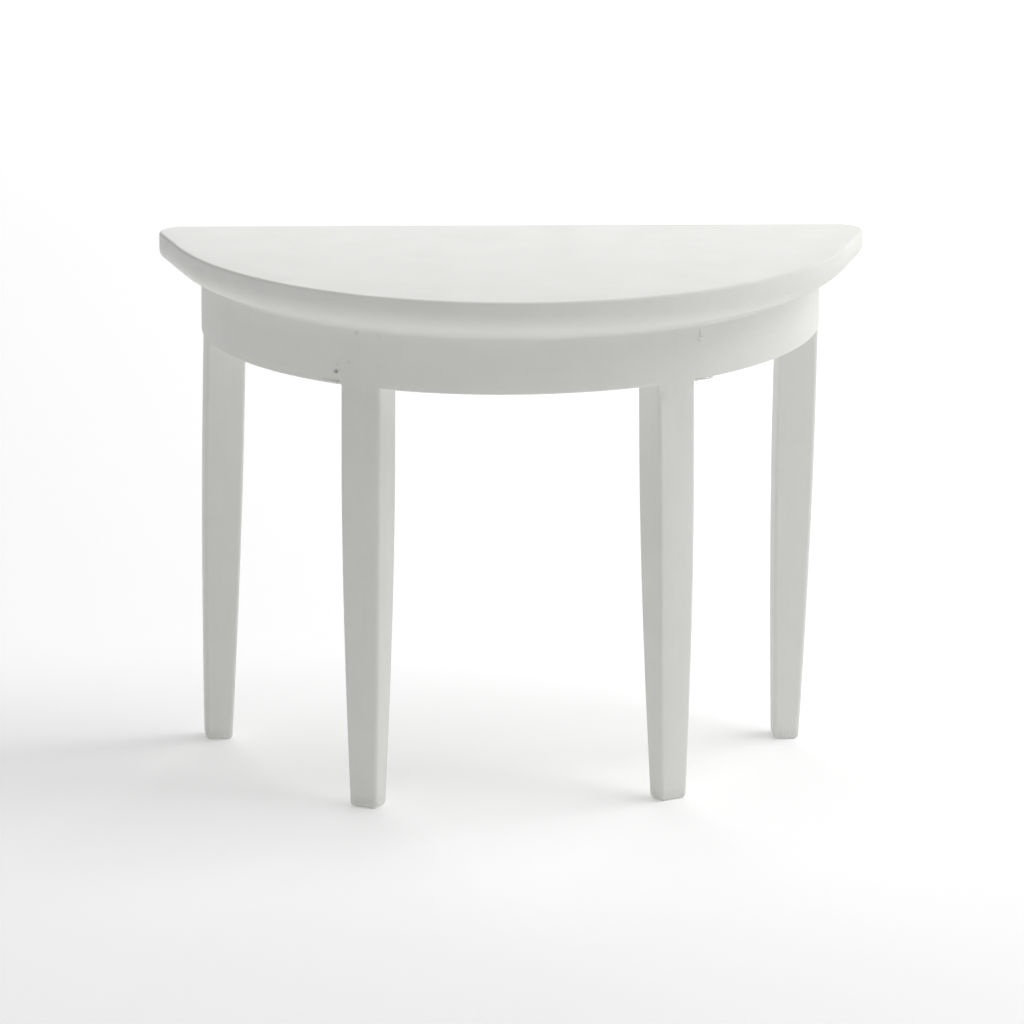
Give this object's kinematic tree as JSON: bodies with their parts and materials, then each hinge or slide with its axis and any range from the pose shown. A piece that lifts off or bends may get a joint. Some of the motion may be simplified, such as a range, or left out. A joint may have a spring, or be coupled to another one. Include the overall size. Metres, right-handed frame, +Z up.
{
  "type": "miniature half-moon dining table",
  "caption": "Half-moon dining table in miniature: white-painted half-round top with a moulded edge, curved apron, straight back and square tapered legs.",
  "frame": {"origin": "on the floor under the middle of the top's outline", "axes": "+Z up; +X along the straight back edge; +Y towards the back edge, so the curved front faces -Y"},
  "size_m": [0.1422, 0.07, 0.1058],
  "materials": {
    "painted_wood": "satin white paint",
    "dowel_wood": "plain beech",
    "pin_steel": "bright drawn wire",
    "painted_filler": "wood filler under satin white paint"
  },
  "bodies": {
    "root": {"tabletop": "painted_wood", "apron_left": "painted_wood", "apron_centre": "painted_wood", "apron_right": "painted_wood", "back_rail": "painted_wood", "leg_rear_left": "painted_wood", "leg_front_left": "painted_wood", "leg_front_right": "painted_wood", "leg_rear_right": "painted_wood", "apron_dowels": "dowel_wood", "back_rail_dowels": "dowel_wood", "leg_dowels": "dowel_wood", "apron_pins": "pin_steel", "pin_filler": "painted_filler"}
  },
  "joints": []
}
